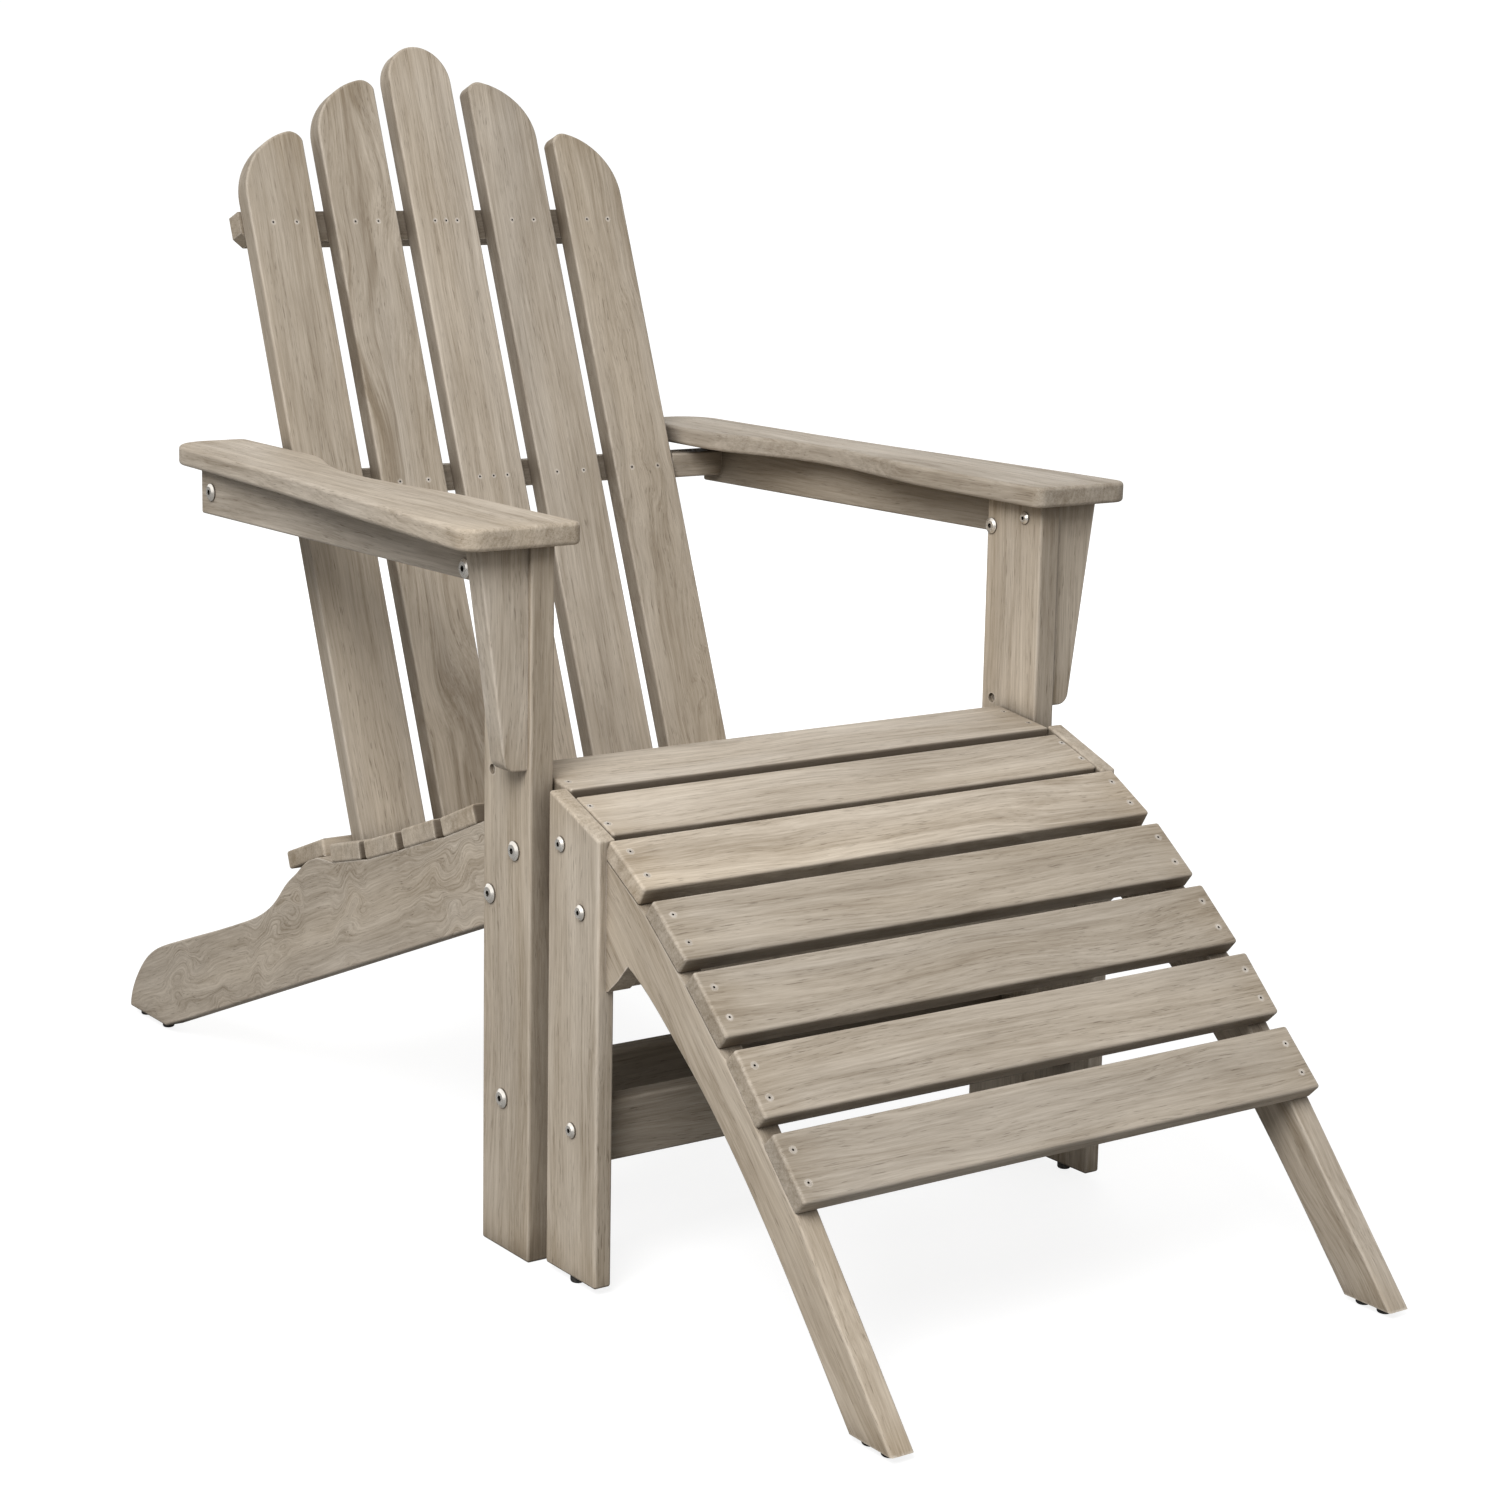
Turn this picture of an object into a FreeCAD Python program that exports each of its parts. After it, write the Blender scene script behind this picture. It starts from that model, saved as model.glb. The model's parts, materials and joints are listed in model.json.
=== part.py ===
import FreeCAD, Part
import os
from math import sin, cos, tan, atan2, hypot, radians, pi

# Garden lounge chair of slatted hardwood boards with a free-standing sloping footrest.
# Millimetres. +Z up, the sitter looks along -Y, +X is the sitter's left hand.
# The boards are laid out with Y = 0 at the front face of the two front legs, then
# everything is moved along Y so that the origin is the bottom centre of the bounding box.

os.makedirs("parts", exist_ok=True)
V = FreeCAD.Vector

# ---- driving dimensions -------------------------------------------------------------
LEG_OUT = 272.5        # half width over the front legs
LEG_T = 22.0           # front leg thickness
LEG_W = 72.5           # front leg width
BOARD_T = 21.0         # structural board thickness
SLAT_T = 17.0          # seat and footrest slat thickness
ARM_T = 18.0           # armrest thickness
ARM_UNDER = 589.5      # underside of the armrests at the front legs
ARM_RISE = 0.0145      # the armrests climb this much per mm towards the back
ARM_RAIL_LOW = 555.5   # bottom edge of the arm rails
BACK_Y0 = 290.0        # back slats' front plane where it meets the floor
BACK_SLOPE = 0.380     # run per rise of that plane
BACK_SLAT_W = 70.0
BACK_GAP = 18.0
BACK_T = 20.0
FOOT_Z = 6.0           # glide height under the raised feet
REAR_Y = 823.0         # rearmost point of the side rails
FRONT_Y = -455.5       # foremost point of the footrest rails
EASE = 2.5             # rounding of board edges
OTT_RAIL_OUT = 258.0   # half width over the footrest rails
OTT_LEG_IN = 250.0     # inner face of the footrest legs
OTT_LEG_T = 16.0       # footrest leg thickness
BOLT_R = 3.0
HEAD_R = 8.0
HEAD_H = 3.2

RAIL_OUT = LEG_OUT - LEG_T            # side rail's outer face, against the leg
RAIL_IN = RAIL_OUT - BOARD_T
ARM_RAIL_OUT = LEG_OUT + BOARD_T
BACK_ANG = atan2(BACK_SLOPE, 1.0)
BACK_REAR = BACK_T / cos(BACK_ANG)   # rear plane offset along Y
Y_SHIFT = -(REAR_Y + FRONT_Y) / 2.0

nodes = {}


# ---- helpers ------------------------------------------------------------------------
def arm_under(y):
    return ARM_UNDER + ARM_RISE * y


def back_front(z):
    return BACK_Y0 + BACK_SLOPE * z


def back_rear(z):
    return back_front(z) + BACK_REAR


def face_of(edges):
    return Part.Face(Part.Wire(edges))


def loop(points, splines=()):
    """Closed list of edges through points; index pairs in splines become one smooth curve."""
    edges = []
    n = len(points)
    i = 0
    starts = dict(splines)
    while i < n:
        if i in starts:
            j = starts[i]
            curve = Part.BSplineCurve()
            curve.interpolate([points[k % n] for k in range(i, j + 1)])
            edges.append(curve.toShape())
            i = j
        else:
            edges.append(Part.makeLine(points[i], points[(i + 1) % n]))
            i += 1
    return edges


def prism_x(yz, x0, x1, splines=()):
    pts = [V(x0, y, z) for y, z in yz]
    return face_of(loop(pts, splines)).extrude(V(x1 - x0, 0, 0))


def prism_y(xz, y0, y1, splines=()):
    pts = [V(x, y0, z) for x, z in xz]
    return face_of(loop(pts, splines)).extrude(V(0, y1 - y0, 0))


def solid(shape):
    s = shape.removeSplitter()
    return s.Solids[0] if len(s.Solids) == 1 else s


def ease(shape, r=EASE, keep=None):
    """Round the edges of a board; keep(edge) limits which ones."""
    edges = [e for e in shape.Edges if keep is None or keep(e)]
    return solid(shape.makeFillet(r, edges))


def ease_if_sound(shape, r, *choices):
    """Round each set of edges in turn, skipping any that would not leave a sound solid."""
    for keep in choices:
        for radius in (r, r * 0.8, r * 0.6):
            try:
                out = ease(shape, radius, keep)
            except Exception:
                continue
            if out.isValid() and abs(out.Volume / shape.Volume - 1.0) < 0.03:
                shape = out
                break
        else:
            print("one edge left square")
    return shape


def mirror(shape):
    return shape.mirror(V(0, 0, 0), V(1, 0, 0))


def group(shapes):
    return Part.makeCompound(shapes)


def cyl(p, d, r, length):
    return Part.makeCylinder(r, length, V(*p), V(*d))


def cone(p, d, r1, r2, length):
    return Part.makeCone(r1, r2, length, V(*p), V(*d))


def step(p, d, t):
    return (p[0] + d[0] * t, p[1] + d[1] * t, p[2] + d[2] * t)


def wood_screw(p, d, length, head=2.8, shank=1.7, proud=0.0):
    """Countersunk screw whose head lies flush at p and whose shank runs along d."""
    top = step(p, d, -proud)
    body = cone(top, d, head, shank, 2.6)
    body = body.fuse(cyl(top, d, shank, length))
    tip = cone(step(top, d, length), d, shank, 0.4, 3.0)
    body = solid(body.fuse(tip))
    slot = cyl(step(top, d, -1.0), d, 1.0, 2.2)
    return solid(body.cut(slot))


def domed_head(p, d, r=HEAD_R, h=HEAD_H):
    """Low domed bolt head standing on the surface at p, d pointing out of the wood."""
    ring = cyl(p, d, r, h * 0.45)
    cap = cone(step(p, d, h * 0.45), d, r, r * 0.68, h * 0.55)
    head = solid(ring.fuse(cap))
    sock = hex_prism(step(p, d, h - 2.0), d, r * 0.34, 3.0)
    return solid(head.cut(sock))


def hex_prism(p, d, r, length):
    axis = V(*d)
    side = V(0, 0, 1) if abs(d[2]) < 0.9 else V(1, 0, 0)
    u = axis.cross(side)
    u.normalize()
    w = axis.cross(u)
    pts = []
    for i in range(7):
        a = i % 6 * pi / 3.0
        pts.append(V(*p) + u * (r * cos(a)) + w * (r * sin(a)))
    return Part.Face(Part.makePolygon(pts)).extrude(axis * length)


def bolt(p, d, length, r=BOLT_R, head_r=HEAD_R):
    """Connector bolt: d points into the wood, head outside at p."""
    out = (-d[0], -d[1], -d[2])
    shank = cyl(p, d, r, length)
    return solid(domed_head(p, out, head_r).fuse(shank))


def sleeve_nut(p, d, depth, r=4.2, head_r=7.0):
    """Cap nut: flange at p outside the wood, sleeve running along d over the bolt's end."""
    out = (-d[0], -d[1], -d[2])
    sleeve = cyl(p, d, r, depth)
    return solid(domed_head(p, out, head_r, 2.8).fuse(sleeve))


def barrel(center, axis, r=5.0, length=16.0):
    base = step(center, axis, -length / 2.0)
    return cyl(base, axis, r, length)


def slat(rear, front, half, t=SLAT_T, over=2.0, r=EASE):
    """Cross slat given the (y, z) of its top surface at the rear and front arris."""
    run = hypot(front[0] - rear[0], front[1] - rear[1])
    dy = (front[0] - rear[0]) / run
    dz = (front[1] - rear[1]) / run
    ny, nz = dz, -dy
    a = (rear[0] - over * dy, rear[1] - over * dz)
    b = (front[0] + over * dy, front[1] + over * dz)
    pts = [a, b, (b[0] - t * ny, b[1] - t * nz), (a[0] - t * ny, a[1] - t * nz)]
    return ease(prism_x(pts, -half, half), r)


def slat_frame(rear, front, t=SLAT_T):
    """Direction along the width, upward normal and centre of a slat's top surface."""
    run = hypot(front[0] - rear[0], front[1] - rear[1])
    dy = (front[0] - rear[0]) / run
    dz = (front[1] - rear[1]) / run
    return (dy, dz), (dz, -dy), ((rear[0] + front[0]) / 2.0, (rear[1] + front[1]) / 2.0)


def slat_screws(rear, front, xs, spread, length):
    d, n, c = slat_frame(rear, front)
    out = []
    for x in xs:
        for s in (-spread, spread):
            p = (x, c[0] + s * d[0], c[1] + s * d[1])
            out.append(wood_screw(p, (0, -n[0], -n[1]), length))
    return out


def under(rear, front, t=SLAT_T):
    """Rear and front points of a slat's underside."""
    d, n, c = slat_frame(rear, front)
    a = (rear[0] - t * n[0] - 2.0 * d[0], rear[1] - t * n[1] - 2.0 * d[1])
    b = (front[0] - t * n[0] + 2.0 * d[0], front[1] - t * n[1] + 2.0 * d[1])
    return a, b


def cut_by(shape, tools):
    """Board with the hardware's shape taken out; loose slivers inside recesses are dropped."""
    left = shape.cut(group(tools)).removeSplitter()
    return max(left.Solids, key=lambda s: s.Volume)


def both(shape):
    return [shape, mirror(shape)]


def glide(x, y, r=6.0):
    g = Part.makeCylinder(r, FOOT_Z, V(x, y, 0))
    low = [e for e in g.Edges if e.BoundBox.ZMax < 0.1]
    return g.makeFillet(2.0, low)


# ---- seat ---------------------------------------------------------------------------
SEAT = [                      # (rear arris, front arris, half length), back to front
    ((376.5, 270.6), (325.0, 284.0), 252.0),
    ((313.0, 287.0), (259.5, 305.5), 252.0),
    ((245.5, 311.0), (193.0, 330.0), 252.0),
    ((178.0, 334.8), (127.0, 356.0), 252.0),
    ((111.5, 362.5), (62.0, 389.5), 249.0),
]
FRONT_SLAT = ((44.0, 405.5), (-20.0, 396.8), 248.5)
RAIL_MID = (RAIL_OUT + RAIL_IN) / 2.0

seat_tools = []
for i, (rear, front, half) in enumerate(SEAT):
    seat_tools += slat_screws(rear, front, (-RAIL_MID, RAIL_MID), 13.5, 34.0)
    nodes["seat_slat_%d" % (i + 2)] = slat(rear, front, half)
seat_tools += slat_screws(FRONT_SLAT[0], FRONT_SLAT[1], (-RAIL_MID, RAIL_MID), 17.0, 34.0)
nodes["seat_slat_front"] = slat(FRONT_SLAT[0], FRONT_SLAT[1], FRONT_SLAT[2])

# lower back brace: lies square to the back slats, its front edge against their rear faces
BRACE_LOW_Z = 251.0
BRACE_LOW_W = 76.0
sb, cb = sin(BACK_ANG), cos(BACK_ANG)
p0 = (back_rear(BRACE_LOW_Z), BRACE_LOW_Z)
p1 = (p0[0] + SLAT_T * sb, p0[1] + SLAT_T * cb)
p2 = (p1[0] + BRACE_LOW_W * cb, p1[1] - BRACE_LOW_W * sb)
p3 = (p0[0] + BRACE_LOW_W * cb, p0[1] - BRACE_LOW_W * sb)
nodes["lower_back_brace"] = ease(
    prism_x([p0, p1, p2, p3], -241.0, 241.0), EASE,
    lambda e: e.BoundBox.YMin > p1[0] + 1.0 or e.BoundBox.XLength < 1.0)
brace_mid = ((p1[0] + p2[0]) / 2.0, (p1[1] + p2[1]) / 2.0)
for x in (-236.0, 236.0):
    for s in (-30.0, -4.0):
        q = (x, brace_mid[0] + s * cb, brace_mid[1] - s * sb)
        seat_tools.append(wood_screw(q, (0, -sb, -cb), 38.0))

# ---- side rails ---------------------------------------------------------------------
def brace_under(y):
    return p0[1] - (y - p0[0]) * sb / cb


BRACE_REST = (426.0, brace_under(426.0))
top = [(p0[0] - 2.0, brace_under(p0[0] - 2.0))]
for rear, front, half in SEAT:
    a, b = under(rear, front)
    top += [a, b]
a, b = under(FRONT_SLAT[0], FRONT_SLAT[1])
top += [a, (-12.0, b[1] + (b[0] + 12.0) * -0.136)]
tail = [(REAR_Y, FOOT_Z), (818.0, 24.0), (805.0, 44.0), (781.0, 68.0), (756.0, 83.0), (729.0, 94.0),
        (652.0, 121.5), (606.0, 138.0), (562.0, 154.5), (519.0, 173.0), (487.0, 195.0),
        (466.0, 215.0), (447.0, 228.5), (436.0, 237.0), (BRACE_REST[0], BRACE_REST[1])]
outline = tail + top + [(-12.0, 303.7), (115.0, 253.5), (737.0, FOOT_Z)]
side = prism_x(outline, RAIL_IN, RAIL_OUT, splines=[(0, 14)])


def side_low(e):
    flat = e.BoundBox.XLength < 0.5
    return flat and e.BoundBox.ZMax < 306.0 and e.BoundBox.YLength > 60.0 and (
        e.BoundBox.YMin < 200.0 or e.BoundBox.ZMax < 8.0)


def side_top(e):
    flat = e.BoundBox.XLength < 0.5
    return flat and e.BoundBox.YMin > 350.0 and e.BoundBox.YLength > 300.0


side = ease_if_sound(side, 2.2, side_low, side_top)

# ---- front legs, corbels, arm rails, arms ----------------------------------------------
PIN_Y, PIN_R, PIN_SINK, BORE_R = 58.5, 2.0, 3.0, 4.2   # cross pin sunk in each leg
PIN_Z = {"left": 410.0, "right": 401.0}                # the two weren't drilled at one height
leg = prism_x([(0, 0), (LEG_W, 0), (LEG_W, arm_under(LEG_W)), (0, arm_under(0))],
              RAIL_OUT, LEG_OUT)
leg = ease(leg, EASE, lambda e: e.BoundBox.ZMin < ARM_UNDER - 20.0)

CORBEL_Y0, CORBEL_Y1 = 5.0, 27.0
cx_top, cx_low = 318.0, 294.5
corbel_pts = [(LEG_OUT, 409.0), (cx_low - 1.8, 409.0)]
corbel_pts += [(cx_top, arm_under(CORBEL_Y0)), (LEG_OUT, arm_under(CORBEL_Y0))]
corbel = prism_y(corbel_pts, CORBEL_Y0, CORBEL_Y1)
corbel = ease(corbel, 11.0, lambda e: e.BoundBox.YLength > 5.0 and e.BoundBox.ZMax < 411.0
              and e.BoundBox.XMin > 280.0)
corbel = ease_if_sound(corbel, 2.0, lambda e: e.BoundBox.XMax > LEG_OUT + 1.0
                       and e.BoundBox.ZMin < ARM_UNDER - 10.0 and e.BoundBox.YLength < 1.0)

RAIL_END = 546.0
arm_rail = prism_x([(CORBEL_Y1, ARM_RAIL_LOW), (RAIL_END, ARM_RAIL_LOW),
                    (RAIL_END, arm_under(RAIL_END)), (CORBEL_Y1, arm_under(CORBEL_Y1))],
                   LEG_OUT, ARM_RAIL_OUT)
arm_rail = ease(arm_rail, EASE, lambda e: e.BoundBox.ZMin < ARM_RAIL_LOW + 1.0
                and e.BoundBox.YMax > CORBEL_Y1 + 1.0)

ARM_REAR = 602.0
ARM_FRONT = -14.0
arm_xy = [(233.0, ARM_FRONT), (341.0, ARM_FRONT), (339.5, 30.0), (334.0, 100.0), (326.0, 200.0),
          (316.5, 305.0), (309.5, 420.0), (305.0, 520.0), (303.0, ARM_REAR), (221.0, ARM_REAR),
          (221.0, 462.0), (226.0, 434.0), (239.0, 398.0), (249.5, 358.0), (253.0, 312.0),
          (249.5, 260.0), (242.0, 208.0), (235.5, 155.0)]
pts = [V(x, y, 0) for x, y in arm_xy]
arm = face_of(loop(pts, splines=[(1, 8), (10, 17)])).extrude(V(0, 0, ARM_T))


def corner(shape, x, y, r):
    near = [e for e in shape.Edges
            if e.BoundBox.ZLength > ARM_T - 1.0 and e.BoundBox.XLength < 0.1
            and hypot(e.BoundBox.XMin - x, e.BoundBox.YMin - y) < 1.0]
    return shape.makeFillet(r, near)


arm = corner(arm, 341.0, ARM_FRONT, 16.0)
arm = corner(arm, 233.0, ARM_FRONT, 9.0)
arm = corner(arm, 303.0, ARM_REAR, 40.0)
arm = corner(arm, 221.0, ARM_REAR, 10.0)
arm = ease(arm, 3.5, lambda e: e.BoundBox.ZLength < 0.5)
arm.translate(V(0, 0, ARM_UNDER))
arm.rotate(V(0, 0, ARM_UNDER), V(1, 0, 0), atan2(ARM_RISE, 1.0) * 180.0 / pi)

# ---- back ---------------------------------------------------------------------------
TOPS = [(904.0, 842.0), (953.5, 898.0), (986.5, 952.0)]   # (crown, shoulder) heights
LOW_V = 236.0 / cb


def back_slat(index):
    """Rounded-top slat in its own flat frame, then leaned back; index 0 is at -X."""
    k = index if index <= 2 else 4 - index
    crown, shoulder = TOPS[k][0] / cb, TOPS[k][1] / cb
    h = BACK_SLAT_W / 2.0
    if k == 2:
        arc = [(-h, shoulder)]
        for i in range(1, 12):
            a = pi - i * pi / 12.0
            arc.append((h * cos(a), shoulder + (crown - shoulder) * sin(a)))
        arc.append((h, shoulder))
        pts = [V(u, 0, v) for u, v in arc] + [V(h, 0, LOW_V), V(-h, 0, LOW_V)]
        edges = loop(pts, splines=[(0, 12)])
    else:
        rise = crown - shoulder
        arc = [(-h, shoulder)]
        for i in range(1, 9):
            a = i * pi / 16.0
            arc.append((-h + (2 * h - 12.0) * (1 - cos(a) ** 1.25), shoulder + rise * sin(a) ** 0.95))
        arc += [(h - 5.0, crown - 2.6), (h, crown - 9.5)]
        pts = [V(u, 0, v) for u, v in arc] + [V(h, 0, LOW_V), V(-h, 0, LOW_V)]
        edges = loop(pts, splines=[(0, 10)])
    body = face_of(edges).extrude(V(0, BACK_T, 0))
    if index > 2:
        body = mirror(body)
    body = ease(body, 2.2, lambda e: e.BoundBox.YLength < 0.5)
    body.rotate(V(0, 0, 0), V(1, 0, 0), -BACK_ANG * 180.0 / pi)
    body.translate(V((index - 2) * (BACK_SLAT_W + BACK_GAP), BACK_Y0, 0))
    return body


def on_back(x, z, off=0.0):
    """Point on the back's front plane at height z, pushed off mm along its normal."""
    return (x, back_front(z) + off * cb, z - off * sb)


INTO_BACK = (0, cb, -sb)
back_tools = []
for i in range(5):
    cx = (i - 2) * (BACK_SLAT_W + BACK_GAP)
    for z, length, spread in ((819.0, 36.0, 12.5), (578.0, 28.0, 15.5), (258.0, 46.0, 12.5)):
        for o in ((-spread, 0.0, spread) if i == 2 else (-spread, spread)):
            back_tools.append(wood_screw(on_back(cx + o, z), INTO_BACK, length, 2.1, 1.3))
    nodes["back_slat_%d" % (i + 1)] = back_slat(i)

# upper brace lies flat on the slats' rear faces; its lower end corners are clipped
UP_Z, UP_H, UP_HALF = 814.0, 30.0, 213.5
brace = prism_y([(-UP_HALF, -UP_H / 2 + 9.0), (-UP_HALF + 9.0, -UP_H / 2),
                 (UP_HALF - 9.0, -UP_H / 2), (UP_HALF, -UP_H / 2 + 9.0),
                 (UP_HALF, UP_H / 2), (-UP_HALF, UP_H / 2)], 0.0, BOARD_T)
brace = ease(brace, 2.0, lambda e: e.BoundBox.YMin > 1.0)
brace.rotate(V(0, 0, 0), V(1, 0, 0), -BACK_ANG * 180.0 / pi)
brace.translate(V(0, back_rear(UP_Z), UP_Z))
nodes["upper_back_brace"] = brace

# arm-level brace: its two ends stand forward beside the outer slats, the length between them
# is housed back to the slats' rear faces
ARM_BRACE_Z0, ARM_BRACE_Z1, ARM_BRACE_Y = 564.0, 588.5, 513.0
arm_brace = prism_x([(ARM_BRACE_Y, ARM_BRACE_Z0), (RAIL_END, ARM_BRACE_Z0),
                     (RAIL_END, ARM_BRACE_Z1), (ARM_BRACE_Y, ARM_BRACE_Z1)], -LEG_OUT, LEG_OUT)
arm_brace = ease(arm_brace, 2.0, lambda e: e.BoundBox.XLength > 100.0)
HOUSE = 2 * (BACK_SLAT_W + BACK_GAP) + BACK_SLAT_W / 2.0 + 0.5
arm_brace = cut_by(arm_brace, [prism_x(
    [(back_front(500.0) - 60.0, 500.0), (back_rear(500.0), 500.0), (back_rear(650.0), 650.0),
     (back_front(650.0) - 60.0, 650.0)], -HOUSE, HOUSE)])

# ---- stretchers ---------------------------------------------------------------------
STR_Y, STR_Z, STR_H = 40.5, 129.5, 50.0
stretcher = Part.makeBox(2 * RAIL_OUT, BOARD_T, STR_H,
                         V(-RAIL_OUT, STR_Y - BOARD_T / 2, STR_Z - STR_H / 2))
stretcher = ease(stretcher, EASE, lambda e: e.BoundBox.XLength > 100.0)

# ---- chair hardware -------------------------------------------------------------------
leg_bolts, leg_nuts, arm_bolts, arm_nuts, str_bolts, barrels, corbel_screws, dowels = (
    [], [], [], [], [], [], [], [])
for y, z in ((23.5, 340.5), (60.5, 297.5)):
    b = bolt((LEG_OUT, y, z), (-1, 0, 0), LEG_T + BOARD_T - 12.0)
    n = sleeve_nut((RAIL_IN, y, z), (1, 0, 0), 11.5)
    leg_bolts += both(b)
    leg_nuts += both(n)
for hand, z in PIN_Z.items():
    pin = cyl((RAIL_OUT + PIN_SINK - 0.3, PIN_Y, z), (1, 0, 0), PIN_R, LEG_T - 2 * PIN_SINK + 0.6)
    leg_bolts.append(pin if hand == "left" else mirror(pin))
b = bolt((ARM_RAIL_OUT, 66.0, 564.8), (-1, 0, 0), LEG_T + BOARD_T - 12.0)
arm_bolts += both(b)
arm_nuts += both(sleeve_nut((RAIL_OUT, 66.0, 564.8), (1, 0, 0), 11.5, 3.8))
b = bolt((ARM_RAIL_OUT, 524.0, 577.0), (-1, 0, 0), 46.0)
arm_bolts += both(b)
barrels += both(barrel((ARM_RAIL_OUT - 51.2, 524.0, 577.0), (0, 0, 1), 5.0, 14.0))
str_bolts += both(bolt((LEG_OUT, STR_Y, STR_Z), (-1, 0, 0), 52.0))
barrels += both(barrel((LEG_OUT - 57.2, STR_Y, STR_Z), (0, 1, 0), 5.0, 14.0))
corbel_screws += both(bolt((RAIL_OUT, 21.5, 576.5), (1, 0, 0), 40.0, 2.0, 5.2))
dowels += both(cyl((LEG_OUT - 11.0, 16.0, 435.0), (1, 0, 0), 4.0, 24.0))
for y in (30.0, 52.0):
    dowels += both(cyl((LEG_OUT - LEG_T / 2, y, ARM_UNDER - 22.0), (0, 0, 1), 4.0, 34.0))
for y in (180.0, 330.0, 470.0):
    dowels += both(cyl((LEG_OUT + BOARD_T / 2, y, ARM_UNDER - 12.0), (0, 0, 1), 4.0, 26.0))

hardware = (leg_bolts + leg_nuts + arm_bolts + arm_nuts + str_bolts + barrels
            + corbel_screws + dowels)
chair_tools = hardware + seat_tools + back_tools


def near(shape, tools):
    bb = shape.BoundBox
    return [t for t in tools if bb.intersect(t.BoundBox)]


sides = {"side_rail": side, "front_leg": leg, "arm_corbel": corbel, "arm_rail": arm_rail,
         "armrest": arm}
for name, shape in sides.items():
    nodes[name + "_left"] = shape
    nodes[name + "_right"] = mirror(shape)
for hand, z in PIN_Z.items():
    for x in (RAIL_OUT - 5.0, LEG_OUT - PIN_SINK):
        bore = cyl((x, PIN_Y, z), (1, 0, 0), BORE_R, 5.0 + PIN_SINK)
        bore = bore if hand == "left" else mirror(bore)
        nodes["front_leg_" + hand] = solid(nodes["front_leg_" + hand].cut(bore))
nodes["arm_back_brace"] = arm_brace
nodes["front_stretcher"] = stretcher
for name in list(nodes):
    tools = near(nodes[name], chair_tools)
    if tools:
        nodes[name] = cut_by(nodes[name], tools)
for name, tools in {"leg_bolts": leg_bolts, "leg_nuts": leg_nuts, "arm_bolts": arm_bolts,
                    "arm_nuts": arm_nuts, "stretcher_bolts": str_bolts,
                    "barrel_nuts": barrels, "corbel_screws": corbel_screws,
                    "wood_dowels": dowels, "seat_screws": seat_tools, "back_screws": back_tools}.items():
    nodes[name] = group(tools)
nodes["rear_glides"] = group(both(glide(RAIL_MID, 752.0)) + both(glide(RAIL_MID, 804.0)))

# ---- footrest -------------------------------------------------------------------------
OTT_SLATS = [                 # (rear arris, front arris, half length), top to bottom
    ((-31.0, 391.8), (-82.0, 373.8), 249.2),
    ((-94.5, 370.3), (-140.0, 343.9), 258.5),
    ((-154.0, 335.6), (-196.5, 302.4), 258.5),
    ((-209.0, 293.4), (-250.5, 257.3), 258.5),
    ((-263.0, 247.6), (-300.5, 209.6), 258.5),
    ((-311.5, 197.5), (-349.5, 159.9), 258.5),
]
OTT_RAIL_IN = OTT_RAIL_OUT - BOARD_T
OTT_MID = OTT_RAIL_OUT - BOARD_T / 2.0
OTT_LEG_OUT = OTT_LEG_IN + OTT_LEG_T
ott = {}
ott_screws = []
for i, (rear, front, half) in enumerate(OTT_SLATS):
    ott["footrest_slat_%d" % (i + 1)] = slat(rear, front, half)
    x = OTT_MID - 3.0 if i == 0 else OTT_MID
    ott_screws += slat_screws(rear, front, (-x, x), 13.5, 22.0 if i == 0 else 32.0)

OTT_END = -27.0
a, b = under(OTT_SLATS[0][0], OTT_SLATS[0][1])
edge = [(OTT_END, 250.0), (OTT_END, a[1] + (OTT_END - a[0]) * (b[1] - a[1]) / (b[0] - a[0])), b]
for rear, front, half in OTT_SLATS[1:]:
    a, b = under(rear, front)
    edge += [a, b]
edge += [(FRONT_Y, FOOT_Z), (-406.0, FOOT_Z), (-288.0, 141.0), (-250.0, 178.5), (-211.0, 212.5),
         (-181.0, 235.5), (-142.0, 263.5), (-119.0, 276.0), (-106.0, 262.0), (-92.0, 250.0)]
first = len(edge) - 9
ott_rail = prism_x(edge, OTT_RAIL_IN, OTT_RAIL_OUT, splines=[(first, first + 6)])


def rail_front(e):
    flat = e.BoundBox.XLength < 0.5
    return flat and e.BoundBox.ZMin < 8.0 and e.BoundBox.YLength < 250.0 and e.BoundBox.ZMax > 100.0


def rail_hollow(e):
    return e.BoundBox.XLength < 0.5 and e.BoundBox.YLength > 250.0


ott_rail = ease_if_sound(ott_rail, 2.2, rail_front, rail_hollow)

OL0, OL1 = -89.5, -16.8
ott_leg = prism_x([(OL0, FOOT_Z), (OL1, FOOT_Z), (OL1, 398.3), (OL0, 370.3)],
                  OTT_LEG_IN, OTT_LEG_OUT)
ott_leg = ease(ott_leg, EASE)
ott_leg = cut_by(ott_leg, [prism_x(edge, OTT_RAIL_IN, OTT_RAIL_OUT)])
s2 = ott["footrest_slat_2"]
ott["footrest_slat_2"] = cut_by(s2, both(ott_leg))

OS_Y, OS_Z = -54.5, 125.5
ott_str = Part.makeBox(2 * OTT_LEG_IN, BOARD_T, STR_H,
                       V(-OTT_LEG_IN, OS_Y - BOARD_T / 2, OS_Z - STR_H / 2))
ott_str = ease(ott_str, EASE, lambda e: e.BoundBox.XLength > 100.0)

OU_Y, OU_Z0, OU_Z1, OU_BOLT = -65.0, 245.0, 331.0, 308.8
ott_up = Part.makeBox(2 * OTT_RAIL_IN, BOARD_T, OU_Z1 - OU_Z0,
                      V(-OTT_RAIL_IN, OU_Y - BOARD_T / 2, OU_Z0))
ott_up = ease(ott_up, EASE, lambda e: e.BoundBox.XLength > 100.0)

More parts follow.
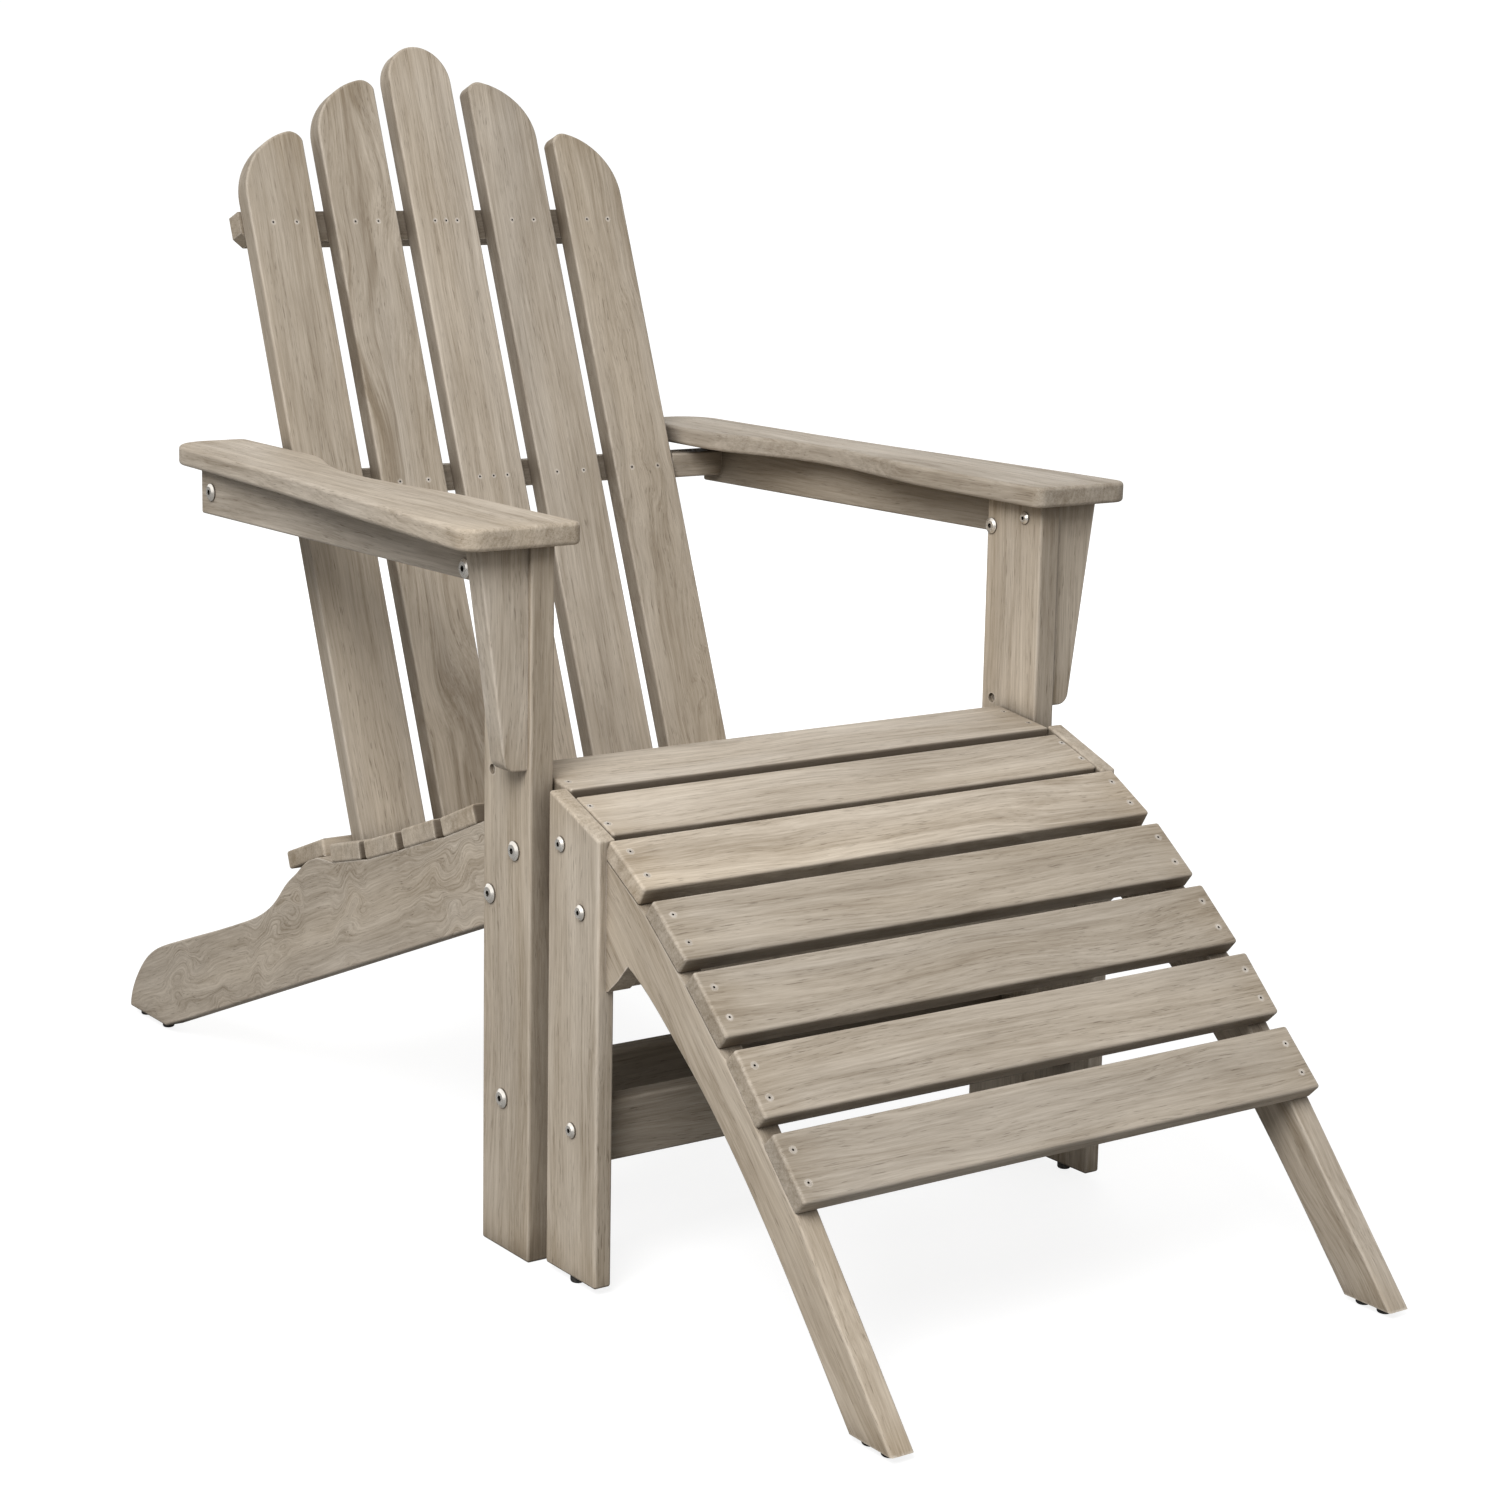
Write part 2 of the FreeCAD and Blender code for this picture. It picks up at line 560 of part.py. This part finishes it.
ott_bolts, ott_nuts, ott_barrels = [], [], []
y, z = -29.5 - 6.0, 357.5
ott_bolts += both(bolt((OTT_LEG_OUT, y, z), (-1, 0, 0), OTT_LEG_OUT - OTT_RAIL_IN - 9.0,
                       BOLT_R, 6.2))
ott_nuts += both(sleeve_nut((OTT_RAIL_IN, y, z), (1, 0, 0), 8.5))
ott_bolts += both(bolt((OTT_LEG_OUT, OU_Y, OU_BOLT), (-1, 0, 0), 58.0, BOLT_R, 6.2))
ott_barrels += both(barrel((OTT_LEG_OUT - 63.2, OU_Y, OU_BOLT), (0, 1, 0), 5.0, 14.0))
ott_bolts += both(bolt((OTT_LEG_OUT, OS_Y, OS_Z + 3.0), (-1, 0, 0), 46.0, BOLT_R, 6.2))
ott_barrels += both(barrel((OTT_LEG_OUT - 51.2, OS_Y, OS_Z + 3.0), (0, 1, 0), 5.0, 14.0))

ott["footrest_rail_left"] = ott_rail
ott["footrest_rail_right"] = mirror(ott_rail)
ott["footrest_leg_left"] = ott_leg
ott["footrest_leg_right"] = mirror(ott_leg)
ott["footrest_stretcher"] = ott_str
ott["footrest_upper_stretcher"] = ott_up
ott_tools = ott_screws + ott_bolts + ott_nuts + ott_barrels
for name in list(ott):
    tools = near(ott[name], ott_tools)
    if tools:
        ott[name] = cut_by(ott[name], tools)
ott["footrest_screws"] = group(ott_screws)
ott["footrest_bolts"] = group(ott_bolts)
ott["footrest_nuts"] = group(ott_nuts)
ott["footrest_barrel_nuts"] = group(ott_barrels)
ott["footrest_glides"] = group(both(glide(OTT_LEG_IN + OTT_LEG_T / 2.0, -53.0))
                               + both(glide(OTT_MID, -440.0)) + both(glide(OTT_MID, -418.0)))
nodes.update(ott)

# ---- export ---------------------------------------------------------------------------
for name, shape in nodes.items():
    shape = shape.copy()
    shape.translate(V(0, Y_SHIFT, 0))
    shape.exportStep("parts/%s.step" % name)
    bb = shape.BoundBox
    print("%-24s solids %2d valid %s vol %9.0f  x %7.1f %7.1f y %7.1f %7.1f z %6.1f %6.1f" % (
        name, len(shape.Solids), shape.isValid(), shape.Volume,
        bb.XMin, bb.XMax, bb.YMin, bb.YMax, bb.ZMin, bb.ZMax))
print(len(nodes), "nodes")
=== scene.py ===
"""Looks for a slatted hardwood garden lounge chair with a separate footrest.

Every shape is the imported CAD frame's own mesh, left as it is. This script adds the
materials, a plain studio and the camera.
"""
import json
import math
import random

import bpy
from mathutils import Matrix, Vector


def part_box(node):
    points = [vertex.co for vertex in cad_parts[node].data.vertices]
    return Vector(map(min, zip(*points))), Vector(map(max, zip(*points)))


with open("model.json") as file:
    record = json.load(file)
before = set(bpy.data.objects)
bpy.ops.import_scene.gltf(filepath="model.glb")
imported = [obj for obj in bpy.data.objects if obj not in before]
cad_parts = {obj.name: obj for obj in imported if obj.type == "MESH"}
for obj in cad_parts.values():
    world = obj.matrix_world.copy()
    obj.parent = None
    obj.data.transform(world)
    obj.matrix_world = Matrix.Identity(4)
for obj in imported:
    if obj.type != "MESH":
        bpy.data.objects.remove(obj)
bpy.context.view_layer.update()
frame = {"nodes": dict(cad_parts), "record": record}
NODES = frame["nodes"]
scene = bpy.context.scene

# ---- colours (linear) -----------------------------------------------------------------
PALE = (0.650, 0.570, 0.470)      # grey wash over the wood
MID = (0.325, 0.266, 0.199)
DARK = (0.130, 0.098, 0.068)      # open pores and late wood
WORN_AND_HIGHLIGHT = (0.760, 0.690, 0.600)      # rubbed arrises, with a painted highlight on them
PAINTED_SHADE = (0.115, 0.088, 0.062)      # painted shade where boards meet and in the gaps between them
BOLT_BRIGHT, BOLT_DULL = (0.96, 0.92, 0.85), (0.82, 0.77, 0.70)
SCREW_BRIGHT, SCREW_DULL = (0.62, 0.56, 0.49), (0.42, 0.37, 0.31)
RECESS_SHADE = (0.020, 0.016, 0.012)    # painted shade in drives and slots
PLASTIC, DUST = (0.030, 0.028, 0.026), (0.085, 0.078, 0.068)

# ---- wood figure (metres) -------------------------------------------------------------
RINGS_PER_METRE = 245.0
PITH_OFF = 0.062                  # pith's distance from the board's middle plane
PITH_LEAN = 0.030                 # how far it drifts across the board per metre
END_REACH = 0.045                 # length of the worn, browner stretch at each board end
SHADE_REACH = 0.032               # gaps narrower than this are darkened with painted shade
RECESS_REACH = 0.006              # the same, for the metal fittings
ARRIS = 0.0026                    # width of the rubbed edge and its painted highlight
# painted shade on the narrow faces along gaps, by part name
GAP_SHADE = (("seat_slat", 0.80), ("back_slat", 0.22), ("front_leg", 0.25))

# ---- boards: (tone and painted shade, warmth, figure, burl) ----------------------------
BOARD = {
    "side_rail_left": (-0.5, 0.0, 0.30, 0.6),
    "side_rail_right": (-0.15, 0.1, 0.25, 1.0),
    "front_leg_right": (-0.1, 0.45, 0.35, 0.0),
    # painted shade: tone lowered to stand for the shade under the seat
    "front_stretcher": (-2.4, 0.1, 0.3, 0.0),
    "seat_slat_front": (0.15, -0.1, 0.30, 0.0),
    "back_slat_1": (-0.95, 0.3, 0.12, 0.0),
    "back_slat_2": (-0.75, 0.2, 1.0, 0.0),
    "back_slat_3": (-0.05, 0.0, 0.06, 0.0),
    "back_slat_4": (-0.5, -0.1, 0.10, 0.0),
    "back_slat_5": (-0.75, 0.4, 0.45, 0.25),
    "upper_back_brace": (-1.0, 0.2, 0.3, 0.0),
    "arm_back_brace": (-1.0, 0.2, 0.3, 0.0),
    "lower_back_brace": (-0.4, 0.2, 0.3, 0.0),
    "armrest_left": (-1.05, -0.1, 0.30, 0.1),
    "armrest_right": (0.15, 0.0, 0.30, 0.1),
    # painted shade: both arm rails' tones lowered for the shade under the arms
    "arm_rail_left": (-2.0, 0.25, 0.30, 0.0),
    "arm_rail_right": (-0.6, -0.15, 0.10, 0.0),
    "footrest_slat_1": (0.35, 0.0, 0.25, 0.0),
    "footrest_slat_2": (0.7, 0.2, 0.55, 0.0),
    "footrest_slat_3": (-0.8, 0.0, 0.20, 0.0),
    "footrest_slat_4": (-0.95, 0.1, 0.35, 0.0),
    "footrest_slat_5": (-0.4, 0.0, 0.15, 0.0),
    "footrest_slat_6": (-0.85, -0.1, 0.30, 0.0),
    "footrest_rail_right": (0.1, 0.5, 0.35, 0.0),
    "footrest_leg_right": (0.0, 0.3, 0.30, 0.1),
    # painted shade: tone lowered for the shade under the footrest
    "footrest_stretcher": (-2.4, 0.1, 0.3, 0.0),
}
SCREW_NODES = ("seat_screws", "back_screws", "footrest_screws")

# ---- studio ---------------------------------------------------------------------------
FLOOR_HALF = 40.0
FLOOR_ALBEDO = 0.30
FLOOR_LIFT = (0.9, 3.2, 0.85, 1.0)    # near radius, far radius, near glow, far glow
SKY_LIGHT, SKY_SEEN_EXTRA = 0.40, 0.65
CAMERA_AT = (-1.5044, -2.1679, 0.9115)
CAMERA_TURN = (79.519, -0.578, -33.055)    # degrees
CAMERA_LENS, CAMERA_SENSOR = 72.585, 36.0
CAMERA_SHIFT = (0.1000, -0.0432)


# ---- node helpers ---------------------------------------------------------------------
class Tree:
    """Small wrapper that adds nodes and links sockets."""

    def __init__(self, tree):
        self.t = tree
        self.count = 0

    def node(self, kind, **settings):
        n = self.t.nodes.new(kind)
        n.location = (220 * (self.count % 12), -220 * (self.count // 12))
        self.count += 1
        for key, value in settings.items():
            setattr(n, key, value)
        return n

    def link(self, source, socket):
        if isinstance(source, bpy.types.NodeSocket):
            self.t.links.new(source, socket)
        else:
            socket.default_value = source

    def math(self, op, a, b=0.0, c=None, clamp=False):
        n = self.node("ShaderNodeMath", operation=op, use_clamp=clamp)
        self.link(a, n.inputs[0])
        self.link(b, n.inputs[1])
        if c is not None:
            self.link(c, n.inputs[2])
        return n.outputs[0]

    def add(self, a, b, clamp=False):
        return self.math("ADD", a, b, clamp=clamp)

    def times(self, a, b):
        return self.math("MULTIPLY", a, b)

    def centred(self, value, weight=1.0):
        """Noise moved from round a half to round zero, and weighted."""
        return self.times(self.math("SUBTRACT", value, 0.5), weight)

    def vmath(self, op, a, b):
        n = self.node("ShaderNodeVectorMath", operation=op)
        self.link(a, n.inputs[0])
        self.link(b, n.inputs[1])
        return n.outputs["Value"] if op in ("DOT_PRODUCT", "LENGTH") else n.outputs["Vector"]

    def combine(self, x, y, z):
        n = self.node("ShaderNodeCombineXYZ")
        for value, socket in zip((x, y, z), n.inputs):
            self.link(value, socket)
        return n.outputs[0]

    def split(self, v):
        n = self.node("ShaderNodeSeparateXYZ")
        self.link(v, n.inputs[0])
        return n.outputs

    def noise(self, v, scale=1.0, detail=2.0, rough=0.5, distort=0.0):
        n = self.node("ShaderNodeTexNoise", noise_dimensions="3D")
        self.link(v, n.inputs["Vector"])
        n.inputs["Scale"].default_value = scale
        n.inputs["Detail"].default_value = detail
        n.inputs["Roughness"].default_value = rough
        n.inputs["Distortion"].default_value = distort
        return n.outputs["Fac"]

    def grain(self, v, stretch, detail=2.0, rough=0.5, distort=0.0):
        """Noise with its own number of cells per metre along each axis."""
        return self.noise(self.vmath("MULTIPLY", v, stretch), 1.0, detail, rough, distort)

    def smooth(self, value, low, high, to_low=0.0, to_high=1.0):
        n = self.node("ShaderNodeMapRange", interpolation_type="SMOOTHSTEP")
        self.link(value, n.inputs["Value"])
        n.inputs["From Min"].default_value = low
        n.inputs["From Max"].default_value = high
        n.inputs["To Min"].default_value = to_low
        n.inputs["To Max"].default_value = to_high
        return n.outputs["Result"]

    def mix(self, fac, a, b):
        n = self.node("ShaderNodeMix", data_type="RGBA", blend_type="MIX")
        self.link(fac, n.inputs["Factor"])
        for value, socket in ((a, n.inputs["A"]), (b, n.inputs["B"])):
            if isinstance(value, tuple):
                value = (*value, 1.0)
            self.link(value, socket)
        return n.outputs["Result"]

    def occlusion(self, reach):
        n = self.node("ShaderNodeAmbientOcclusion", samples=6)
        n.inputs["Distance"].default_value = reach
        return n.outputs["AO"]


def new_material(name):
    """Material with a Principled shader on its output, and the wrapper for its nodes."""
    m = bpy.data.materials.new(name)
    m.use_nodes = True
    m.node_tree.nodes.clear()
    t = Tree(m.node_tree)
    shader = t.node("ShaderNodeBsdfPrincipled")
    out = t.node("ShaderNodeOutputMaterial")
    t.link(shader.outputs[0], out.inputs["Surface"])
    return m, t, shader


def add_bump(t, shader, height, strength, distance):
    bump = t.node("ShaderNodeBump")
    bump.inputs["Strength"].default_value = strength
    bump.inputs["Distance"].default_value = distance
    t.link(height, bump.inputs["Height"])
    t.link(bump.outputs["Normal"], shader.inputs["Normal"])


# ---- wood -----------------------------------------------------------------------------
def wood_group():
    """Board in its own axes, x along the grain, metres in, colour, roughness and height out."""
    g = bpy.data.node_groups.new("weathered_timber", "ShaderNodeTree")
    for name, kind, value in (("Vector", "NodeSocketVector", None),
                              ("Tone and shade", "NodeSocketFloat", 0.0),
                              ("Warmth", "NodeSocketFloat", 0.0),
                              ("Figure", "NodeSocketFloat", 0.3),
                              ("Burl", "NodeSocketFloat", 0.0),
                              ("Middle", "NodeSocketFloat", 0.0),
                              ("Half", "NodeSocketFloat", 1.0)):
        s = g.interface.new_socket(name=name, in_out="INPUT", socket_type=kind)
        if value is not None:
            s.default_value = value
    for name, kind in (("Color", "NodeSocketColor"), ("Roughness", "NodeSocketFloat"),
                       ("Height", "NodeSocketFloat")):
        g.interface.new_socket(name=name, in_out="OUTPUT", socket_type=kind)
    t = Tree(g)
    gin = t.node("NodeGroupInput").outputs
    out = t.node("NodeGroupOutput")
    P = gin["Vector"]
    x, y, z = t.split(P)

    # slow wander of the grain, and swirls where a branch once was
    wander = t.centred(t.grain(P, (3.2, 9.0, 9.0)))
    knotty = t.smooth(t.grain(P, (6.5, 9.0, 9.0), 1.0), 0.47, 0.60)
    knotty = t.times(knotty, gin["Burl"])
    swirl = t.centred(t.grain(P, (13.0, 22.0, 22.0), 1.5, 0.5, 0.5))
    swirl = t.times(swirl, knotty)
    drift = t.times(wander, t.math("MULTIPLY_ADD", gin["Figure"], 0.075, 0.010))
    drift = t.add(drift, t.times(swirl, 0.085))
    yw = t.add(y, drift)
    zw = t.add(z, t.times(drift, 0.6))

    # growth rings round a pith that lies off the board and leans a little along it
    py = t.add(yw, t.times(x, PITH_LEAN))
    pz = t.add(zw, PITH_OFF)
    ring_r = t.math("SQRT", t.add(t.times(py, py), t.times(pz, pz)))
    ring_p = t.times(ring_r, RINGS_PER_METRE)
    ring_n = t.noise(t.combine(ring_p, t.times(x, 2.0), 0.0), 0.55, 1.0)
    ring = t.math("FRACT", t.add(ring_p, t.times(ring_n, 1.7)))
    ring = t.times(t.smooth(ring, 0.25, 0.90), t.smooth(ring, 0.90, 1.0, 1.0, 0.0))
    ring = t.times(ring, t.smooth(ring_n, 0.30, 0.62, 0.25, 1.0))

    # fibres, long streaks and open pores, all drawn out along the grain
    Q = t.combine(x, yw, zw)
    fine = t.grain(Q, (30.0, 820.0, 820.0), 3.0, 0.62)
    line = t.grain(Q, (13.0, 380.0, 380.0), 3.0, 0.60)
    streak = t.grain(Q, (5.0, 150.0, 150.0), 4.0, 0.60)
    band = t.grain(Q, (1.5, 40.0, 40.0), 2.0, 0.5)
    patch = t.grain(Q, (6.0, 20.0, 20.0), 3.0, 0.55)
    pores = t.smooth(t.grain(Q, (70.0, 1250.0, 1250.0), 1.0, 0.4), 0.61, 0.73)
    pores = t.times(pores, t.smooth(streak, 0.40, 0.60, 0.10, 1.0))
    wave = t.centred(t.grain(P, (7.0, 12.0, 12.0), 1.0), 0.030)
    flame = t.combine(t.times(x, 3.4), t.times(t.add(yw, wave), 62.0), t.times(zw, 30.0))
    flame = t.smooth(t.noise(flame, 1.0, 2.5, 0.55, 0.25), 0.48, 0.66)
    flame = t.times(flame, gin["Figure"])

    # shade runs from the pale wash, 0, to the bare wood, 1
    shade = 0.0
    for layer, weight in ((fine, 0.95), (line, 0.70), (streak, 0.85), (band, 0.85),
                          (patch, 0.80)):
        shade = t.add(shade, t.centred(layer, weight))
    shade = t.add(shade, t.times(ring, t.math("MULTIPLY_ADD", knotty, 0.26, 0.12)))
    shade = t.add(shade, t.times(flame, 0.48))

    # the wash wears browner towards the two ends of a board
    ends = t.math("ABSOLUTE", t.math("SUBTRACT", x, gin["Middle"]))
    ends = t.math("SUBTRACT", ends, gin["Half"])
    ends = t.add(ends, t.centred(t.grain(P, (22.0, 60.0, 60.0)), 0.05))
    ends = t.smooth(ends, -END_REACH, 0.0)
    shade = t.add(shade, t.times(ends, 0.15))
    shade = t.add(shade, 0.37, clamp=True)
    color = t.mix(shade, PALE, MID)
    color = t.mix(t.times(pores, 0.52), color, DARK)

    # warmer and cooler stretches, and each board's own tone, which for the stretchers and arm
    # rails is painted shade
    warm = t.centred(t.grain(Q, (2.2, 24.0, 24.0)), 1.3)
    warm = t.add(warm, gin["Warmth"])
    warm = t.add(warm, t.times(ends, 0.30))
    hue = t.node("ShaderNodeHueSaturation")
    hue.inputs["Hue"].default_value = 0.5
    hue.inputs["Fac"].default_value = 1.0
    t.link(t.math("MULTIPLY_ADD", warm, 0.26, 1.00), hue.inputs["Saturation"])
    t.link(t.math("MULTIPLY_ADD", gin["Tone and shade"], 0.16, 1.0), hue.inputs["Value"])
    t.link(color, hue.inputs["Color"])
    color = hue.outputs[0]

    # painted shade: an occlusion mask darkens the wood where boards meet and in the gaps
    # between them
    mottle = t.centred(t.grain(Q, (30.0, 90.0, 90.0), 3.0, 0.6), 0.35)
    crease_shade = t.smooth(t.add(t.occlusion(SHADE_REACH), mottle), 0.20, 0.88, 0.80, 0.0)
    color = t.mix(crease_shade, color, PAINTED_SHADE)

    # arrises: the wash is rubbed thin and paler along every rounded edge; this pale line is
    # also a painted highlight
    bevel = t.node("ShaderNodeBevel", samples=4)
    bevel.inputs["Radius"].default_value = ARRIS
    geo = t.node("ShaderNodeNewGeometry")
    turn = t.vmath("DOT_PRODUCT", bevel.outputs[0], geo.outputs["Normal"])
    wear_and_highlight = t.smooth(t.math("SUBTRACT", 1.0, turn), 0.004, 0.07)
    chafe = t.grain(Q, (30.0, 160.0, 160.0), 3.0, 0.6)
    wear_and_highlight = t.times(wear_and_highlight, t.smooth(chafe, 0.36, 0.60, 0.12, 0.80))
    wear_and_highlight = t.times(wear_and_highlight, t.math("SUBTRACT", 1.0, crease_shade))
    color = t.mix(wear_and_highlight, color, WORN_AND_HIGHLIGHT)

    rough = t.add(t.times(shade, 0.14), 0.52)
    rough = t.add(rough, t.times(wear_and_highlight, -0.10))
    rough = t.add(rough, t.times(pores, 0.12))
    height = 0.0
    for layer, weight in ((fine, 0.45), (line, 0.60), (streak, 0.30), (ring, -0.20),
                          (pores, -0.80)):
        height = t.add(height, t.times(layer, weight))
    t.link(color, out.inputs["Color"])
    t.link(rough, out.inputs["Roughness"])
    t.link(height, out.inputs["Height"])
    return g


WOOD = wood_group()


def grain_axis(name):
    """Direction along the board. Side and footrest rails slope."""
    if name.startswith("side_rail"):
        return Vector((0, -0.930, 0.367))
    if name.startswith("footrest_rail"):
        return Vector((0, 0.700, 0.714))
    if name.startswith(("front_leg", "footrest_leg", "arm_corbel", "back_slat")):
        return Vector((0, 0, 1))
    if name.startswith(("armrest", "arm_rail")):
        return Vector((0, 1, 0))
    return Vector((1, 0, 0))


def broad_normal(obj):
    """Normal of the board's broadest flat face."""
    best = {}
    for p in obj.data.polygons:
        key = tuple(round(abs(c), 2) for c in p.normal)
        area, normal = best.get(key, (0.0, p.normal))
        best[key] = (area + p.area, normal)
    return max(best.values(), key=lambda v: v[0])[1].copy()


def board_axes(obj, name):
    """Rotation that takes the object's coordinates to (along, across, through) the board."""
    n = broad_normal(obj).normalized()
    d = grain_axis(name)
    d = (d - n * d.dot(n)).normalized()
    return Matrix((d, n.cross(d), n))


def gap_shade(name):
    """How much painted shade the board's two narrow long faces get."""
    for start, amount in GAP_SHADE:
        if name.startswith(start):
            return amount
    return 0.0


def wood_material(name, obj, tone_and_shade, warmth, figure, burl, seed):
    """One board's own cut out of the timber, turned to lie along the board."""
    m, t, shader = new_material("wood_" + name)
    rng = random.Random(seed)
    axes = board_axes(obj, name)
    low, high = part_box(name)
    centre = axes @ ((low + high) / 2)
    shift = Vector((rng.uniform(3, 9), rng.uniform(-0.045, 0.045),
                    rng.choice((0.0, -0.03, 0.02))))
    coord = t.node("ShaderNodeTexCoord")
    turn = t.node("ShaderNodeMapping", vector_type="POINT")
    turn.inputs["Rotation"].default_value = axes.to_euler("XYZ")
    turn.inputs["Location"].default_value = shift - centre
    t.link(coord.outputs["Object"], turn.inputs["Vector"])
    along = [(axes @ v.co).x for v in obj.data.vertices]
    board = t.node("ShaderNodeGroup", node_tree=WOOD)
    t.link(turn.outputs["Vector"], board.inputs["Vector"])
    for key, value in (("Tone and shade", tone_and_shade), ("Warmth", warmth), ("Figure", figure), ("Burl", burl),
                       ("Middle", (max(along) + min(along)) / 2 + shift.x - centre.x),
                       ("Half", (max(along) - min(along)) / 2)):
        board.inputs[key].default_value = value
    # painted shade: the narrow side faces along the gaps are darkened
    facing = t.vmath("DOT_PRODUCT", coord.outputs["Normal"], tuple(axes[1]))
    facing = t.smooth(t.math("ABSOLUTE", facing), 0.40, 0.92, 0.0, gap_shade(name))
    t.link(t.mix(facing, board.outputs["Color"], PAINTED_SHADE), shader.inputs["Base Color"])
    t.link(board.outputs["Roughness"], shader.inputs["Roughness"])
    shader.inputs["IOR"].default_value = 1.45
    shader.inputs["Specular IOR Level"].default_value = 0.26
    add_bump(t, shader, board.outputs["Height"], 0.42, 0.00055)
    return m


# ---- fittings -------------------------------------------------------------------------
def metal_material(name, bright, dull, metallic):
    """Zinc-plated screws and bolts: fine brushing, dull patches, painted shade in the recesses.
    """
    m, t, shader = new_material(name)
    place = t.node("ShaderNodeTexCoord").outputs["Object"]
    brushing = t.grain(place, (900.0, 2600.0, 2600.0))
    cloud = t.grain(place, (160.0, 160.0, 160.0), 3.0)
    color = t.mix(t.smooth(cloud, 0.35, 0.70), bright, dull)
    # painted shade: an occlusion mask darkens the drives and slots
    recess_shade = t.smooth(t.occlusion(RECESS_REACH), 0.50, 0.90, 0.96, 0.0)
    t.link(t.mix(recess_shade, color, RECESS_SHADE), shader.inputs["Base Color"])
    rough = t.add(t.times(brushing, 0.16), t.times(cloud, 0.20))
    t.link(t.add(rough, 0.10), shader.inputs["Roughness"])
    shader.inputs["Metallic"].default_value = metallic
    add_bump(t, shader, brushing, 0.15, 0.0001)
    return m


def glide_material():
    """Dark moulded plastic with a matt, slightly dusty skin."""
    m, t, shader = new_material("moulded_glides")
    place = t.node("ShaderNodeTexCoord").outputs["Object"]
    fine = t.grain(place, (1800.0, 1800.0, 1800.0))
    dust = t.grain(place, (220.0, 220.0, 120.0), 3.0)
    t.link(t.mix(t.smooth(dust, 0.45, 0.75), PLASTIC, DUST), shader.inputs["Base Color"])
    t.link(t.math("MULTIPLY_ADD", dust, 0.2, 0.5), shader.inputs["Roughness"])
    add_bump(t, shader, fine, 0.3, 0.0001)
    return m


# ---- materials on the frame -------------------------------------------------------------
def set_material(obj, material):
    obj.data.materials.clear()
    obj.data.materials.append(material)
    for p in obj.data.polygons:
        p.material_index = 0


METAL = metal_material("zinc_bolts", BOLT_BRIGHT, BOLT_DULL, 0.85)
SCREW = metal_material("zinc_screws", SCREW_BRIGHT, SCREW_DULL, 0.3)
GLIDE = glide_material()
slots = {s["node"]: s["material_slot"] for s in frame["record"]["subparts"]}
for i, name in enumerate(sorted(NODES)):
    obj = NODES[name]
    if slots[name] == "fittings":
        set_material(obj, SCREW if name in SCREW_NODES else METAL)
    elif slots[name] == "glides":
        set_material(obj, GLIDE)
    else:
        rng = random.Random(1000 + i)
        base = (rng.uniform(-0.25, 0.25), rng.uniform(-0.3, 0.3), rng.uniform(0.1, 0.5), 0.0)
        set_material(obj, wood_material(name, obj, *BOARD.get(name, base), 77 + i))


# ---- floor, light, camera ---------------------------------------------------------------
def floor_material():
    """White paper sweep: seen as near white, but it throws only a little light back up."""
    m, t, shader = new_material("studio_floor")
    shader.inputs["Roughness"].default_value = 0.9
    shader.inputs["Specular IOR Level"].default_value = 0.0
    shader.inputs["Base Color"].default_value = (FLOOR_ALBEDO, FLOOR_ALBEDO, FLOOR_ALBEDO, 1.0)
    shader.inputs["Emission Color"].default_value = (1.0, 1.0, 1.0, 1.0)
    place = t.node("ShaderNodeTexCoord").outputs["Object"]
    glow = t.smooth(t.vmath("LENGTH", place, (0.0, 0.0, 0.0)), *FLOOR_LIFT)
    seen = t.node("ShaderNodeLightPath").outputs["Is Camera Ray"]
    t.link(t.times(seen, glow), shader.inputs["Emission Strength"])
    return m


mesh = bpy.data.meshes.new("floor")
corners = [(-1, -1), (1, -1), (1, 1), (-1, 1)]
mesh.from_pydata([(FLOOR_HALF * x, FLOOR_HALF * y, 0) for x, y in corners], [], [(0, 1, 2, 3)])
floor = bpy.data.objects.new("floor", mesh)
scene.collection.objects.link(floor)
floor.data.materials.append(floor_material())

world = bpy.data.worlds.new("studio")
world.use_nodes = True
wt = Tree(world.node_tree)
sky = world.node_tree.nodes["Background"]
sky.inputs["Color"].default_value = (1.0, 1.0, 1.0, 1.0)
ray = wt.node("ShaderNodeLightPath")
seen = wt.math("MAXIMUM", ray.outputs["Is Camera Ray"], ray.outputs["Is Glossy Ray"])
wt.link(wt.math("MULTIPLY_ADD", seen, SKY_SEEN_EXTRA, SKY_LIGHT), sky.inputs["Strength"])
scene.world = world


def area_light(name, place, target, size, power):
    data = bpy.data.lights.new(name, "AREA")
    data.shape = "DISK"
    data.size = size
    data.energy = power
    obj = bpy.data.objects.new(name, data)
    scene.collection.objects.link(obj)
    obj.location = place
    aim = Vector(target) - Vector(place)
    obj.rotation_euler = aim.to_track_quat("-Z", "Y").to_euler()
    return obj


area_light("key", (-2.45, -1.75, 3.15), (0.0, 0.0, 0.4), 2.4, 132.0)
fill = area_light("rear_fill", (2.5, 2.7, 1.7), (0.0, 0.1, 0.45), 2.6, 48.0)
fill.visible_glossy = False

cam_data = bpy.data.cameras.new("camera")
cam = bpy.data.objects.new("camera", cam_data)
scene.collection.objects.link(cam)
cam.location = CAMERA_AT
cam.rotation_euler = [math.radians(a) for a in CAMERA_TURN]
cam_data.sensor_width = CAMERA_SENSOR
cam_data.lens = CAMERA_LENS
cam_data.shift_x, cam_data.shift_y = CAMERA_SHIFT
cam_data.clip_end = 200.0
cam_data.dof.use_dof = False
scene.camera = cam
scene.view_settings.view_transform = "Standard"
scene.view_settings.look = "None"
